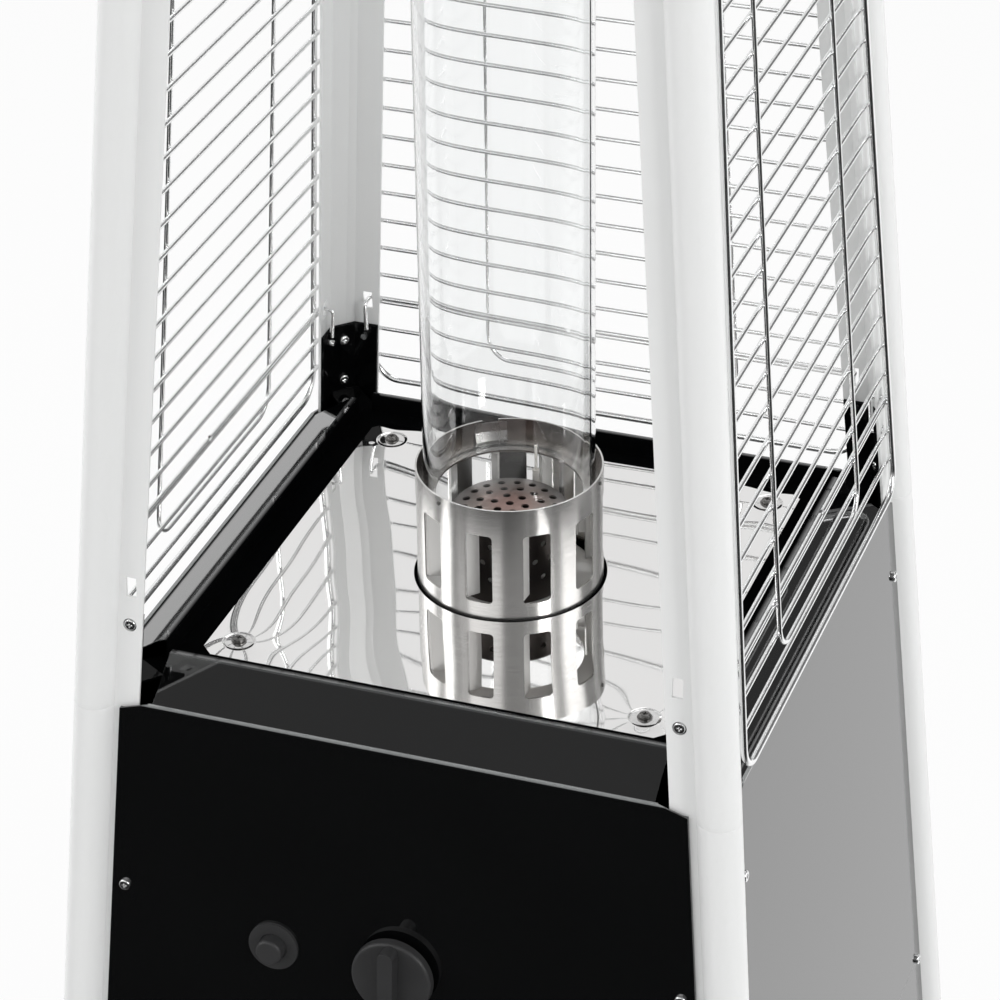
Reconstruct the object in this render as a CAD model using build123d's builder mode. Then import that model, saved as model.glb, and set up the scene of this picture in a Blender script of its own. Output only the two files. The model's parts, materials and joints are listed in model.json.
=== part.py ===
from build123d import *

import os
from math import atan, cos, degrees, sin, sqrt

# A pyramid patio heater. Four leaning corner posts stand in a square base pan. At mid height they carry
# a black deck tray with a mirror plate, the burner and its quartz tube, and at the top a plate and a cap.
# X runs along the front, the front faces -Y, Z is up, and the origin is on the floor under the tube.
# Every size is in millimetres.

# ---- overall form ----
deck_height = 820.0  # floor to the top of the mirror plate
frame_height = 2250.0  # floor to the tops of the posts
taper = 0.075  # how far each side leans in, per unit of height
post_reach = 182.5  # middle of the heater to a post's axis, at the deck

# ---- corner posts: a round tube with a flat inner side and two wings ----
post_radius = 12.5
post_wall = 1.5
post_flat = 7.2  # axis to the flat inner side
wing_reach = 27.3  # axis to a wing's edge
wing_face = 2.3  # axis to a wing's outer face
wing_root = 10.0  # where a wing starts inside the tube's wall
splice_drop = 12.8  # deck to the joint between lower and upper posts

# ---- base pan, feet and wheels ----
foot_height = 14.0
foot_radius = 13.0
foot_stem = 4.0
base_height = 70.0
base_wall = 1.5
base_gap = 0.5  # between a post's tube and the pan's wall, at the pan's floor
rim_width = 12.0
rim_end_gap = 2.5  # between the pan's rim and a post's tube
wheel_radius = 38.0
wheel_width = 24.0
tyre_depth = 9.0
wheel_lift = 4.0  # the wheels clear the floor until the heater is tipped
wheel_reach = 10.0  # how far a wheel stands out behind the pan
wheel_spacing = 330.0
wheel_well_gap = 4.0
fork_gauge = 2.0
fork_gap = 1.5
fork_foot = 12.0
axle_radius = 4.0
axle_clearance = 0.06
axle_head = 7.0
axle_head_height = 3.5
spoke_count = 5
hub_boss = 9.0
hub_rim = 4.0
spoke_width = 6.0
spoke_gauge = 12.0

# ---- panels ----
sheet = 1.2  # painted steel of the panels, the door and the deck tray
panel_lap = 10.8  # how far a panel laps over a post's wing
panel_hem = 12.0
panel_top_drop = 7.8  # deck to a panel's top edge
panel_top_half = 149.7  # half the straight part of a panel's top edge
panel_shoulder = 5.2  # height of the sloping shoulder at a panel's top corners
panel_return = 8.0
panel_top_return = 0.8
panel_foot_gap = 2.0  # between a panel and the pan's rim
vent_height = 150.0
vent_spacing = 60.0
vent_length = 36.0
vent_width = 5.0
control_height = 241.8
control_return = 24.0
screw_row_drop = 55.2  # from a panel's top edge to its first row of screws
front_row_drop = 121.8  # the same on the control panel
screw_inset = 2.5  # from a wing's edge to the row of panel screws

# ---- door ----
door_gap = 3.0
door_return = 12.7
hinge_inset = 4.8  # door's edge to the hinge axis
hinge_setback = 2.9  # the hinge axis is this far behind the post axis plane
hinge_pin = 2.5
hinge_clearance = 0.06
hinge_reach = 6.0
hinge_head = 3.4
hinge_tab_half = 7.0
hinge_tab_end = 6.0
hinge_tail = 3.0
hinge_head_gap = 0.6
strike_height = 12.0
pull_height = 360.0
pull_fillet = 3.0
pull_tail = 4.0
pull_radius = 13.0
pull_length = 22.0
pull_neck = 6.0
pull_inset = 32.0
magnet_length = 34.0
magnet_depth = 9.0
magnet_height = 14.0
magnet_gap = 0.3
magnet_place = 110.0

# ---- deck tray ----
tray_half = 154.0  # middle to the inner side of the tray's wall
tray_rise = 10.0  # top of the lip above the plate
tray_hem = 4.2
tray_slope_reach = 27.4  # hem to the crease
tray_slope_drop = 18.4
tray_skirt_reach = 0.6
tray_skirt_drop = 10.0
lip_half = 147.8
tray_hole = 50.0

# ---- mirror plate ----
plate_half = 139.0
plate_gauge = 1.0
plate_chamfer = 7.0
plate_hole_gap = 2.2  # round the collar
plate_screw = 121.6

# ---- corner brackets ----
bracket_gauge = 2.0
bracket_rise = 46.5
bracket_drop = 60.0
bracket_shelf_half = 10.0
bracket_hole = 3.6
bracket_hole_height = -8.0
bracket_screw_heights = (36.0, 6.0, -42.0)
ear_round = 7.0
ear_root_gap = 0.4
wing_screw_height = 40.0
wing_screw_inset = 19.7  # post axis to a wing's screws and hook slots

# ---- grilles ----
frame_wire = 2.0
row_wire = 1.4
weld = 0.25  # how deep two crossing wires are welded into each other
grille_half = 160.0  # middle to the outer frame's side wire, at the deck
grille_face = 8.0  # post axis plane to the frame wire's centre
grille_foot = 2.0
row_pitch = 20.0
grille_top_gap = 12.0
corner_bend = 16.0
inner_share = 0.46  # the inner frame's width as a share of the posts' spacing
inner_foot = 32.0
hook_row = 3
hook_reach = 9.0
hook_drop = 19.0
hook_bend = 2.4
hook_gap = 4.0
hook_gap_place = 0.1  # where the two hook wires meet, as a share of the grille's half width
slot_width = 6.0
slot_height = 12.0
slot_rise = 2.0  # a slot's middle above its row

# ---- quartz tube and its collar ----
tube_radius = 50.0
tube_wall = 2.5
tube_rise = 22.4  # top plate to the tube's top
collar_radius = 54.7
collar_gauge = 1.0
collar_height = 72.9
slot_count = 10
collar_slot = 16.6  # width
collar_slot_foot = 10.5
collar_slot_height = 45.0
collar_slot_round = 2.5
flap_width = 9.0
flap_turn = 58.0  # how far a flap is bent in
flap_gap = 1.0
flap_fold = 4.0
seat_gauge = 1.2
seat_inner = 43.0
seat_drop = 15.5  # rim to the tube's foot
notch_width = 10.0
notch_angle = 122.0
notch_drop = 8.0
clip_count = 3
clip_start = -118.0
clip_sweep = 22.0
clip_gauge = 0.6
clip_top = 1.5  # rim to a clip's top
clip_back = 6.0
clip_tongue = 5.0
clip_gap = 0.4
clip_toe = 2.5
clip_rivet = 1.2
clip_rivet_head = 0.6

# ---- burner ----
cap_radius = 34.0
cap_gauge = 1.0
cap_height = 43.5  # plate to the top of the burner cap's wall
cap_dome = 3.0
cap_rings = ((9.5, 6), (18.5, 12), (27.0, 18))
cap_hole = 2.3
side_rows = (13.0, 24.0, 35.0)
side_holes = 20
side_hole = 1.9
bowl_radius = 30.0
bowl_gauge = 1.5
bowl_top = 10.0
bowl_depth = 40.0
mixer_radius = 12.0
mixer_length = 95.0
mixer_window = 7.0
mixer_window_height = 22.0
mixer_plug = 12.0
carrier_radius = 72.0
carrier_gauge = 1.5
carrier_screw = 64.0
pass_gap = 0.4
pilot_angle = 72.0
pilot_reach = 39.5
pilot_radius = 3.6
pilot_height = 34.0
pilot_hood = 7.0
pilot_pipe_radius = 2.0
pilot_bend = 10.0
probe_spread = 14.0  # angle from the pilot to the probes on either side
electrode_radius = 2.2
electrode_height = 64.0
electrode_tip = 0.9
couple_radius = 1.6
couple_height = 60.0
probe_drop = 24.0

# ---- controls ----
control_drop = 150.0  # deck to the knob's axis
valve_half = 18.0
valve_tall = 20.0
valve_depth = 38.0
valve_boss = 14.0
valve_setback = 17.5  # how far the valve's block stands behind the panel
plug_radius = 8.0
plug_clearance = 0.06
plug_length = 20.0
plug_end_gap = 0.4
stem_radius = 3.0
stem_clearance = 0.06
stem_gap = 0.5
stem_depth = 9.0
stem_socket = 14.0
knob_radius = 24.0
knob_height = 15.0
knob_gap = 4.3  # panel to the knob's back, at rest
knob_grip = 9.0
knob_grip_height = 9.0
knob_fillet = 2.0
igniter_place = -75.0
igniter_radius = 11.0
igniter_length = 36.0
igniter_flange = 15.0
igniter_flange_gauge = 2.0
button_radius = 8.0
button_gap = 0.35
button_reach = 8.0
button_depth = 14.0
button_fillet = 2.0
igniter_bore = 20.0
switch_place = 78.0
switch_length = 34.0
switch_height = 26.0
switch_depth = 20.0
terminal = (6.3, 8.0, 0.8)
inlet_hex = 17.0
inlet_hex_height = 10.0
inlet_neck = 5.0
inlet_tail = 22.0
pipe_radius = 4.0
pipe_bend = 14.0

# ---- top ----
top_plate_drop = 145.0  # post tops to the top plate
top_flange = 16.0
top_gap = 0.3
tube_gap = 0.5
tube_ring_wall = 1.5
tube_ring_height = 12.0
tube_ring_flange = 8.0
top_margin = 2.0
cap_skirt = 22.0
roof_gauge = 1.5
roof_rise = 12.0
roof_flat = 18.0
cap_corner = 13.0
cap_lip = 2.0
baffle_radius = 58.0
baffle_drop = 26.0
baffle_stud = 4.0

# ---- fasteners ----
screw_shank = 2.0
screw_hole = 2.2
screw_head = 3.4
screw_head_height = 2.2
screw_length = 6.5
screw_slot = 0.9
seat = 0.05  # between sheets that are screwed together
screw_recess = 4.0  # wing hole that a head sits down in
washer_radius = 4.4
washer_gauge = 0.6

lean = atan(taper)
up_edge = Vector(taper, taper, 1).normalized()  # along the front left post
edge_stretch = sqrt(1 + 2 * taper**2)
floor_top = foot_height + base_wall
rim_top = foot_height + base_height
splice = deck_height - splice_drop
plate_under = deck_height - plate_gauge
tray_under = plate_under - sheet
panel_face = wing_face + sheet  # post axis plane to the back of a panel's sheet
top_plate_z = frame_height - top_plate_drop
corners = ("front_left", "front_right", "back_right", "back_left")


def post_axis(z):
    """How far a post's axis is from the middle, along X and along Y, at height z."""
    return post_reach - taper * (z - deck_height)


def turned(angle):
    """A turn about the upright axis, in degrees."""
    return Location((0, 0, 0), (0, 0, angle))


def face_spot(x, z, out=0.0, turn=0):
    """A place on a leaning side, z outward, y up the slope, turn quarter turns round from the front."""
    spot = Plane(
        origin=(x, -post_axis(z) - out, z), x_dir=(1, 0, 0), z_dir=(0, -cos(lean), sin(lean))
    )
    return turned(90 * turn) * Location(spot)


def wall_spot(x, z, half, turn):
    """A place on an upright wall, z outward; turn is the number of quarter turns from the front."""
    return turned(90 * turn) * Location((x, -half, z), (90, 0, 0))


def corner_spot(z, turn=0):
    """A post's axis at height z, x and y pointing outward."""
    spot = Plane(origin=(-post_axis(z), -post_axis(z), z), x_dir=(-1, 0, 0), z_dir=(0, 0, 1))
    return turned(90 * turn) * Location(spot)


def flat_spot(across, z, turn=0):
    """A place on the flat inner side of a post, z pointing at the middle; across runs along the flat."""
    inward = post_flat / sqrt(2)
    spot = Plane(
        origin=(inward - post_axis(z), inward - post_axis(z), z), x_dir=(1, -1, 0), z_dir=(1, 1, -2 * taper)
    )
    return turned(90 * turn) * Location(spot) * Location((across, 0, 0))


def slope(z, start):
    """Distance up a leaning side from height start to height z."""
    return (z - start) / cos(lean)


def finish(part, name):
    """Names a finished piece and writes its file."""
    part.label = name
    export_step(part, f"parts/{name}.step")


def drill(spots, radius, depth):
    """Cuts a round hole through whatever lies within depth of each spot, on either side."""
    with Locations(*spots):
        Cylinder(radius, 2 * depth, mode=Mode.SUBTRACT)


def round_with_flat(radius, flat):
    """A disc with its inner side cut flat, at that distance from its centre."""
    Circle(radius)
    away = (flat + radius) / sqrt(2)
    with Locations((-away, -away)):
        Rectangle(4 * radius, 2 * radius, rotation=-45, mode=Mode.SUBTRACT)


def post_section():
    """A post's section at the front left corner, x and y pointing outward."""
    round_with_flat(post_radius, post_flat)
    middle = -(wing_reach + wing_root) / 2
    with Locations((middle, wing_face - post_wall / 2)):
        Rectangle(wing_reach - wing_root, post_wall)
    with Locations((wing_face - post_wall / 2, middle)):
        Rectangle(post_wall, wing_reach - wing_root)


def post_between(low, high):
    """A hollow post from height low to height high, added to the part being built."""
    length = (high - low) * edge_stretch
    with BuildSketch(Plane(corner_spot(low))) as outside:
        post_section()
    extrude(outside.sketch, amount=length, dir=up_edge)
    with BuildSketch(Plane(corner_spot(low))) as inside:
        round_with_flat(post_radius - post_wall, post_flat - post_wall)
    extrude(inside.sketch, amount=length, dir=up_edge, mode=Mode.SUBTRACT)


def wing_spots(z, inset, out=0.0):
    """The places on the front left post's two wings at height z, inset from the post's axis."""
    x = post_axis(z) - inset
    return [face_spot(-x, z, out), face_spot(x, z, out, 3)]


def side_points(low, high, margin, start):
    """The corners of a tapered panel, on a side's plane that starts at height start."""
    return [
        (-(post_axis(low) - margin), slope(low, start)),
        (post_axis(low) - margin, slope(low, start)),
        (post_axis(high) - margin, slope(high, start)),
        (-(post_axis(high) - margin), slope(high, start)),
    ]


def strip(points, gauge):
    """The closed outline of a bent sheet that lies to the left of a line of points."""
    directions = [(b - a).normalized() for a, b in zip(points, points[1:])]
    normals = [Vector(-d.Y, d.X) for d in directions]
    far = []
    for place, point in enumerate(points):
        before = normals[max(place - 1, 0)]
        after = normals[min(place, len(normals) - 1)]
        middle = before + after
        far.append(point + middle * (2 * gauge / middle.dot(middle)))
    return points + far[::-1]


def plate_on(spot, points, gauge, mode=Mode.ADD):
    """A flat plate with the given outline, from a place outward."""
    with BuildSketch(Plane(spot)) as face:
        with BuildLine():
            Polyline(*points, close=True)
        make_face()
    extrude(face.sketch, amount=gauge, mode=mode)


def block_points(x_low, x_high, y_low, y_high):
    """The corners of a rectangle."""
    return [(x_low, y_low), (x_high, y_low), (x_high, y_high), (x_low, y_high)]


def panel_shape(low, bottom_depth, bottom_half):
    """A panel at the front from height low up to the deck tray: sheet, side hems, top and bottom returns."""
    high = deck_height - panel_top_drop
    shoulder = high - panel_shoulder
    margin = wing_reach - panel_lap
    outline = side_points(low, shoulder, margin, low)
    top = [(panel_top_half, slope(high, low)), (-panel_top_half, slope(high, low))]
    plate_on(face_spot(0, low, panel_face), outline[:3] + top + outline[3:], sheet)
    foot, head = post_axis(low) - margin, post_axis(shoulder) - margin
    rise = slope(shoulder, low)
    for hand in (1, -1):
        outer = [(hand * foot, 0), (hand * head, rise)]
        hem = outer + [(hand * (head - panel_hem), rise), (hand * (foot - panel_hem), 0)]
        plate_on(face_spot(0, low, wing_face), hem, sheet)
    top_edge = block_points(-panel_top_half, panel_top_half, -sheet, 0)
    plate_on(face_spot(0, high, panel_face), top_edge, -panel_top_return)
    plate_on(face_spot(0, low, panel_face), block_points(-bottom_half, bottom_half, 0, sheet), -bottom_depth)


# ---- heights of the screws on the posts ----
panel_foot = rim_top + panel_foot_gap
control_foot = deck_height - panel_top_drop - control_height
upper_row = deck_height - panel_top_drop - screw_row_drop
front_row = deck_height - panel_top_drop - front_row_drop
middle_row = control_foot + (upper_row - control_foot) / 6
lower_row = panel_foot + screw_row_drop
side_row = (upper_row + lower_row) / 2
base_row = foot_height + base_height / 4
cap_row = frame_height - cap_skirt / 2
top_row = top_plate_z - top_flange / 2
wing_row = deck_height + wing_screw_height
panel_screw_inset = wing_reach - screw_inset

os.makedirs("parts", exist_ok=True)

# ---- base pan ----
base_half = post_axis(floor_top) + post_radius + base_gap + base_wall
base_corner = post_radius + base_gap + base_wall
rim_half = post_axis(rim_top) - post_radius - rim_end_gap
wheel_y = base_half + wheel_reach - wheel_radius
wheel_z = wheel_lift + wheel_radius
well_front = wheel_y - wheel_radius - wheel_well_gap
well_half = wheel_width / 2 + fork_gap
door_low = panel_foot
door_high = control_foot - door_gap
door_margin = wing_reach + door_gap
hinge_margin = door_margin + hinge_inset


def hinge_spot(z):
    """The hinge axis at height z, z along the axis."""
    place = (hinge_margin - post_axis(z), hinge_setback - post_axis(z), z)
    return Location(Plane(origin=place, x_dir=(1, 0, -taper), z_dir=up_edge))


foot_reach = post_axis(floor_top)
foot_spots = [Location((hx * foot_reach, hy * foot_reach, 0)) for hx in (-1, 1) for hy in (-1, 1)]
with BuildPart() as base_pan:
    with BuildSketch(Plane.XY.offset(foot_height)):
        RectangleRounded(2 * base_half, 2 * base_half, base_corner)
    extrude(amount=base_height)
    with BuildSketch(Plane.XY.offset(floor_top)):
        RectangleRounded(2 * (base_half - base_wall), 2 * (base_half - base_wall), base_corner - base_wall)
    extrude(amount=base_height, mode=Mode.SUBTRACT)
    with BuildSketch(Plane.XY.offset(rim_top - base_wall)):
        for turn in range(4):
            with Locations(turned(90 * turn) * Location((0, base_half - rim_width / 2, 0))):
                Rectangle(2 * rim_half, rim_width)
    extrude(amount=base_wall)
    tab_y = hinge_setback - post_axis(rim_top)
    tab_inner = tab_y + hinge_pin + hinge_tab_end
    with BuildSketch(Plane.XY.offset(rim_top - base_wall)):
        with Locations((hinge_margin - post_axis(rim_top), (tab_inner - base_half) / 2)):
            Rectangle(2 * hinge_tab_half, tab_inner + base_half)
    extrude(amount=base_wall)
    with BuildSketch(Plane.XY.offset(foot_height)):
        with Locations(*[(hand * wheel_spacing / 2, (well_front + base_half) / 2) for hand in (-1, 1)]):
            Rectangle(2 * well_half, base_half - well_front + base_wall)
    extrude(amount=base_height, mode=Mode.SUBTRACT)
    stem_spots = [spot * Location((0, 0, foot_height)) for spot in foot_spots]
    drill(stem_spots, foot_stem + screw_hole - screw_shank, base_wall * 2)
    drill([hinge_spot(rim_top)], hinge_pin + hinge_clearance, 2 * base_wall)
    for turn in range(4):
        places = [wall_spot(h * post_axis(base_row), base_row, base_half, turn) for h in (-1, 1)]
        drill(places, screw_hole, 2 * base_wall)
finish(base_pan.part, "base_pan")

with BuildPart() as feet:
    with Locations(*foot_spots):
        Cylinder(foot_radius, foot_height, align=(Align.CENTER, Align.CENTER, Align.MIN))
        Cylinder(foot_stem, foot_height + 3 * base_wall, align=(Align.CENTER, Align.CENTER, Align.MIN))
finish(feet.part, "feet")

# ---- wheels ----
for hand, name in ((-1, "left"), (1, "right")):
    wheel_x = hand * wheel_spacing / 2
    wheel_plane = Plane(origin=(wheel_x, wheel_y, wheel_z), x_dir=(0, 1, 0), z_dir=(1, 0, 0))
    hub_radius = wheel_radius - tyre_depth
    with BuildPart() as tyre:
        with BuildSketch(Plane(origin=(wheel_x, wheel_y, wheel_z), x_dir=(0, 0, 1), z_dir=(0, 1, 0))):
            with Locations((wheel_radius - tyre_depth / 2, 0)):
                RectangleRounded(tyre_depth, wheel_width, tyre_depth / 3)
        revolve(axis=Axis((wheel_x, wheel_y, wheel_z), (1, 0, 0)))
        with BuildSketch(wheel_plane):
            Circle(hub_radius)
        extrude(amount=wheel_width, both=True, mode=Mode.SUBTRACT)
    finish(tyre.part, f"wheel_tyre_{name}")
    with BuildPart() as hub:
        with BuildSketch(wheel_plane):
            Circle(hub_radius)
            Circle(hub_radius - hub_rim, mode=Mode.SUBTRACT)
        extrude(amount=wheel_width / 3, both=True)
        with BuildSketch(wheel_plane):
            Circle(hub_boss)
        extrude(amount=wheel_width / 2, both=True)
        with BuildSketch(wheel_plane):
            with PolarLocations(hub_radius / 2, spoke_count):
                Rectangle(hub_radius, spoke_width)
            Circle(hub_radius, mode=Mode.INTERSECT)
        extrude(amount=spoke_gauge / 2, both=True)
        with BuildSketch(wheel_plane):
            Circle(axle_radius + axle_clearance)
        extrude(amount=wheel_width, both=True, mode=Mode.SUBTRACT)
    finish(hub.part, f"wheel_hub_{name}")
    with BuildPart() as fork:
        for cheek in (-1, 1):
            cheek_x = wheel_x + cheek * (well_half + fork_gauge / 2)
            with BuildSketch(Plane(origin=(cheek_x, 0, floor_top), x_dir=(0, 1, 0), z_dir=(1, 0, 0))):
                back = base_half - base_wall - base_gap
                front = well_front - fork_gauge
                high = wheel_z - floor_top
                with BuildLine():
                    Polyline((front, 0), (back, 0), (back, high + hub_boss), (front, high), close=True)
                make_face()
            extrude(amount=fork_gauge / 2, both=True)
            foot_x = wheel_x + cheek * (well_half + fork_gauge + fork_foot / 2)
            with Locations((foot_x, (front + back) / 2, floor_top)):
                Box(fork_foot, back - front, fork_gauge, align=(Align.CENTER, Align.CENTER, Align.MIN))
        with Locations((wheel_x, well_front - fork_gauge / 2, floor_top)):
            bridge = (Align.CENTER, Align.CENTER, Align.MIN)
            Box(2 * well_half + 2 * fork_gauge, fork_gauge, wheel_z - floor_top, align=bridge)
        drill([Location(wheel_plane)], axle_radius + pass_gap / 2, 2 * wheel_width)
    finish(fork.part, f"wheel_fork_{name}")
with BuildPart() as wheel_bolts:
    bolt_half = well_half + fork_gauge
    for hand in (-1, 1):
        near = (hand * (wheel_spacing / 2 - bolt_half), wheel_y, wheel_z)
        far = (hand * (wheel_spacing / 2 + bolt_half), wheel_y, wheel_z)
        with BuildSketch(Plane(origin=near, z_dir=(hand, 0, 0))):
            Circle(axle_radius)
        extrude(amount=2 * bolt_half + axle_head_height)
        with BuildSketch(Plane(origin=near, z_dir=(-hand, 0, 0))):
            RegularPolygon(axle_head, 6)
        extrude(amount=axle_head_height)
        with BuildSketch(Plane(origin=far, z_dir=(hand, 0, 0))):
            RegularPolygon(axle_head, 6)
        extrude(amount=axle_head_height)
finish(wheel_bolts.part, "wheel_bolts")

# ---- posts ----


def tube_screws(z):
    """Where screws enter the front left post's tube, from the front and from the left."""
    return [face_spot(-post_axis(z), z, post_radius), face_spot(post_axis(z), z, post_radius, 3)]


hook_z = deck_height + grille_foot + hook_row * row_pitch
row_count = int((top_plate_z - top_flange - grille_top_gap - deck_height - grille_foot) / row_pitch)
grille_top = deck_height + grille_foot + row_count * row_pitch
hook_heights = (hook_z, grille_top - hook_row * row_pitch)
flat_screws = [flat_spot(0, deck_height + h) for h in bracket_screw_heights]

with BuildPart() as upper_post:
    post_between(splice, frame_height)
    for z in hook_heights:
        with Locations(*wing_spots(z + slot_rise, wing_screw_inset, wing_face)):
            Box(slot_width, slot_height, 4 * post_wall, mode=Mode.SUBTRACT)
    drill(wing_spots(wing_row, wing_screw_inset, wing_face), screw_recess, 2 * post_wall)
    drill(wing_spots(top_row, wing_screw_inset, wing_face), screw_hole, 2 * post_wall)
    drill(flat_screws[:2], screw_hole, 2 * post_wall)
    drill(tube_screws(cap_row), screw_hole, 2 * post_wall)
with BuildPart() as lower_post:
    post_between(floor_top, splice)
    for z in (upper_row, front_row, middle_row, side_row, lower_row):
        drill(wing_spots(z, panel_screw_inset, wing_face), screw_hole, 2 * post_wall)
    drill(flat_screws[2:], screw_hole, 2 * post_wall)
    drill(tube_screws(base_row), screw_hole, 2 * post_wall)

for turn, corner in enumerate(corners):
    finish(Rot(0, 0, 90 * turn) * upper_post.part, f"upper_post_{corner}")
    finish(Rot(0, 0, 90 * turn) * lower_post.part, f"lower_post_{corner}")

# ---- corner brackets ----
ear_outer = wing_face - post_wall - seat
ear_inner = ear_outer - bracket_gauge
ear_tip = ear_root_gap - wing_reach
chord = -(post_flat + seat) * sqrt(2)
chord_inner = -(post_flat + bracket_gauge) * sqrt(2)
with BuildPart() as bracket:
    low, high = deck_height - bracket_drop, deck_height + bracket_rise
    with BuildSketch(Plane(corner_spot(low))):
        with BuildLine():
            Polyline(
                (ear_tip, ear_outer),
                (chord - ear_outer, ear_outer),
                (ear_outer, chord - ear_outer),
                (ear_outer, ear_tip),
                (ear_inner, ear_tip),
                (ear_inner, chord_inner - ear_inner),
                (chord_inner - ear_inner, ear_inner),
                (ear_tip, ear_inner),
                close=True,
            )
        make_face()
    extrude(amount=(high - low) * edge_stretch, dir=up_edge)
    for hand, turn in ((-1, 0), (1, 3)):
        spot = face_spot(hand * (post_axis(high) + ear_tip), high, -wing_reach, turn)
        side_x = -hand * ear_round
        with BuildSketch(Plane(spot)):
            with BuildLine():
                Polyline((0, 0), (side_x, 0), (0, -ear_round), close=True)
            make_face()
        extrude(amount=2 * wing_reach, mode=Mode.SUBTRACT)
    with BuildSketch(Plane.XY.offset(tray_under - bracket_gauge)):
        shelf_start = post_axis(tray_under) - (post_flat + bracket_gauge - seat) / sqrt(2)
        shelf_end = plate_screw - bracket_shelf_half
        with Locations((-(shelf_start + shelf_end) / 2, -(shelf_start + shelf_end) / 2)):
            Rectangle((shelf_start - shelf_end) * sqrt(2), 2 * bracket_shelf_half, rotation=45)
    extrude(amount=bracket_gauge)
    drill([Location((-plate_screw, -plate_screw, tray_under))], screw_hole, 2 * bracket_gauge)
    drill(flat_screws, screw_hole, 3 * bracket_gauge)
    drill([flat_spot(0, deck_height + bracket_hole_height)], bracket_hole, 3 * bracket_gauge)
    drill(wing_spots(wing_row, wing_screw_inset), screw_hole, 2 * bracket_gauge)
for turn, corner in enumerate(corners):
    finish(Rot(0, 0, 90 * turn) * bracket.part, f"corner_bracket_{corner}")

# ---- fixed panels ----
front_rows = (front_row, middle_row)
side_rows_z = (upper_row, side_row, lower_row)


def panel_screws(rows, turn=0):
    """The places of a panel's screws on its outer face, turn quarter turns round from the front."""
    places = [(hand * (post_axis(z) - panel_screw_inset), z) for z in rows for hand in (-1, 1)]
    return [face_spot(x, z, panel_face, turn) * Location((0, 0, sheet)) for x, z in places]


with BuildPart() as side_panel:
    panel_shape(panel_foot, panel_return, post_axis(panel_foot) - wing_reach - ear_root_gap)
    drill(panel_screws(side_rows_z), screw_hole, 3 * sheet)
    with Locations(*[face_spot(k * vent_spacing, vent_height, panel_face) for k in range(-2, 3)]):
        Box(vent_length, vent_width, 4 * sheet, mode=Mode.SUBTRACT)
for turn, side in ((1, "right"), (2, "back"), (3, "left")):
    finish(Rot(0, 0, 90 * turn) * side_panel.part, f"{side}_panel")

control_z = deck_height - control_drop
with BuildPart() as control_panel:
    panel_shape(control_foot, control_return, post_axis(control_foot) - wing_reach - ear_root_gap)
    drill(panel_screws(front_rows), screw_hole, 3 * sheet)
    drill([face_spot(0, control_z, panel_face)], stem_radius + stem_gap, 2 * sheet)
    drill([face_spot(igniter_place, control_z, panel_face)], igniter_radius + pass_gap, 2 * sheet)
    drill([hinge_spot(control_foot)], hinge_pin + hinge_clearance, 3 * sheet)
finish(control_panel.part, "control_panel")

# ---- door ----
door_rise = slope(door_high, door_low)
door_foot_half = post_axis(door_low) - door_margin
door_head_half = post_axis(door_high) - door_margin
door_plane = face_spot(0, door_low, wing_face - sheet)
door_depth = door_return - sheet
with BuildPart() as door:
    plate_on(door_plane, side_points(door_low, door_high, door_margin, door_low), sheet)
    for hand in (1, -1):
        edge = [
            (hand * door_foot_half, 0),
            (hand * door_head_half, door_rise),
            (hand * (door_head_half - sheet), door_rise),
            (hand * (door_foot_half - sheet), 0),
        ]
        plate_on(door_plane, edge, -door_depth)
    foot_edge = block_points(sheet / 2 - door_foot_half, door_foot_half - sheet / 2, 0, sheet)
    head_inset = door_head_half - sheet / 2
    head_edge = block_points(-head_inset, head_inset, door_rise - sheet, door_rise)
    plate_on(door_plane, foot_edge, -door_depth)
    plate_on(door_plane, head_edge, -door_depth)
    strike_half = door_head_half - 2 * hinge_inset - hinge_head
    strike = block_points(-strike_half, strike_half, door_rise - strike_height, door_rise)
    plate_on(door_plane * Location((0, 0, -door_depth)), strike, sheet)
    drill([hinge_spot(door_low), hinge_spot(door_high)], hinge_pin, 3 * sheet)
    pull_x = post_axis(pull_height) - door_margin - pull_inset
    drill([face_spot(pull_x, pull_height, wing_face)], screw_hole, 2 * sheet)
finish(door.part, "door")

pull_spot = face_spot(pull_x, pull_height, wing_face - sheet) * Location((0, 0, sheet))
with BuildPart() as door_pull:
    with BuildSketch(Plane(pull_spot)):
        Circle(pull_neck)
    extrude(amount=pull_length)
    with BuildSketch(Plane(pull_spot * Location((0, 0, pull_length / 2)))):
        Circle(pull_radius)
    extrude(amount=pull_length / 2)
    fillet(door_pull.edges().filter_by(GeomType.CIRCLE).group_by(Axis.Y)[0], pull_fillet)
    with BuildSketch(Plane(pull_spot)):
        Circle(screw_shank)
    extrude(amount=-pull_tail)
finish(door_pull.part, "door_pull")

with BuildPart() as door_pins:
    for z, direction in ((door_low + sheet, -1), (door_high - sheet - hinge_head_gap, 1)):
        reach = panel_foot_gap if direction < 0 else door_gap
        spot = hinge_spot(z)
        with BuildSketch(Plane(spot)):
            Circle(hinge_pin)
        extrude(amount=direction * (reach + hinge_reach + hinge_head_gap))
        with BuildSketch(Plane(spot)):
            Circle(hinge_head)
        extrude(amount=-direction * hinge_tail)
finish(door_pins.part, "door_pins")

with BuildPart() as door_magnet:
    depth = (panel_face - wing_face + sheet) * cos(lean) + door_depth + magnet_gap + magnet_depth / 2
    spot = face_spot(magnet_place, control_foot, panel_face) * Location((0, -magnet_height / 2, -depth))
    with Locations(spot):
        Box(magnet_length, magnet_height, magnet_depth)
finish(door_magnet.part, "door_magnet")

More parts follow.
